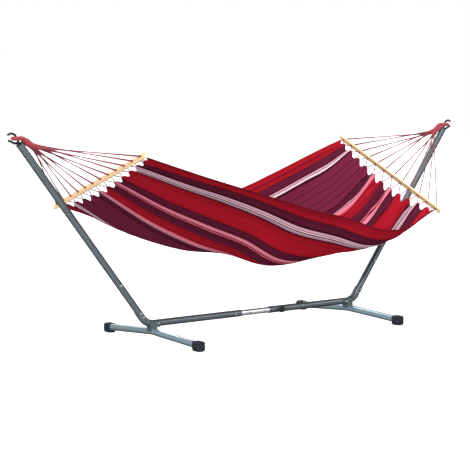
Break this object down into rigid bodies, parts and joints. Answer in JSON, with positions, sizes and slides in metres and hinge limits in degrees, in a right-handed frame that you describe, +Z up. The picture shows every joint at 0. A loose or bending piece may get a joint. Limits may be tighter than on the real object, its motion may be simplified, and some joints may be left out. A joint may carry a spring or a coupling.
{
  "type": "hammock on stand",
  "caption": "Striped cloth hammock with wooden spreader bars, hung by cords from the hooks of a free-standing steel tube stand.",
  "frame": {"origin": "on the floor, midway between the two hooks and between the two pairs of feet", "axes": "+X from the left hook to the right hook, +Y to the far side, +Z up"},
  "size_m": [3.0482, 0.933, 1.1418],
  "materials": {
    "hammertone": "blue-grey hammered paint, satin",
    "bright_tube": "zinc-plated, bright",
    "fastener": "zinc-plated",
    "hook_black": "black dipped",
    "black_plastic": "moulded",
    "cap_rubber": "matt",
    "beech": "clear varnish",
    "crimson_cord": "braided cotton and polyester cord",
    "striped_cloth": "woven cotton, striped along its length"
  },
  "bodies": {
    "stand_left": {"elbow_tube_left": "hammertone", "post_tube_left": "hammertone", "foot_tube_left": "hammertone", "foot_saddle_left": "hammertone", "hook_left": "hook_black", "saddle_bolts_left": "fastener", "saddle_nuts_left": "fastener", "post_bolt_left": "fastener", "post_nut_left": "fastener", "post_plug_left": "black_plastic", "base_bush_left": "black_plastic", "foot_cap_left_near": "cap_rubber", "foot_cap_left_far": "cap_rubber", "inner_tube": "bright_tube", "inner_tube_plugs": "black_plastic", "button_spring": "fastener"},
    "stand_right": {"elbow_tube_right": "hammertone", "post_tube_right": "hammertone", "foot_tube_right": "hammertone", "foot_saddle_right": "hammertone", "hook_right": "hook_black", "saddle_bolts_right": "fastener", "saddle_nuts_right": "fastener", "post_bolt_right": "fastener", "post_nut_right": "fastener", "post_plug_right": "black_plastic", "base_bush_right": "black_plastic", "foot_cap_right_near": "cap_rubber", "foot_cap_right_far": "cap_rubber", "knob_boss": "hammertone"},
    "snap_button": {"snap_button": "fastener"},
    "knob": {"star_knob": "black_plastic", "knob_stud": "fastener"},
    "hammock": {"spreader_bar_left": "beech", "hook_loop_left": "crimson_cord", "cord_neck_left": "crimson_cord", "lacing_cords_left": "crimson_cord", "cloth": "striped_cloth"},
    "hammock_right": {"spreader_bar_right": "beech", "hook_loop_right": "crimson_cord", "cord_neck_right": "crimson_cord", "lacing_cords_right": "crimson_cord"}
  },
  "joints": [
    {"name": "base_slide", "type": "slide", "parent": "stand_left", "child": "stand_right", "axis": [1, 0, 0], "range_m": [0, 0.1]},
    {"name": "button_press", "type": "slide", "parent": "stand_left", "child": "snap_button", "axis": [0, 1, 0], "range_m": [0, 0.005], "stiffness_N_per_m": 400, "springref_m": -0.004, "deforming": ["button_spring"]},
    {"name": "knob_turn", "type": "hinge", "parent": "stand_right", "child": "knob", "pos_m": [0.168, 0, 0.097], "axis": [0, -1, 0], "range_deg": [0, 360]},
    {"name": "hammock_swing", "type": "hinge", "parent": "stand_left", "child": "hammock", "pos_m": [0, 0, 1.1103], "axis": [1, 0, 0], "range_deg": [-25, 25]},
    {"name": "hammock_reach", "type": "slide", "parent": "hammock", "child": "hammock_right", "axis": [1, 0, 0], "range_m": [0, 0.1]}
  ],
  "couplings": [
    {"joint": "hammock_reach", "follows": "base_slide", "ratio": 1}
  ]
}
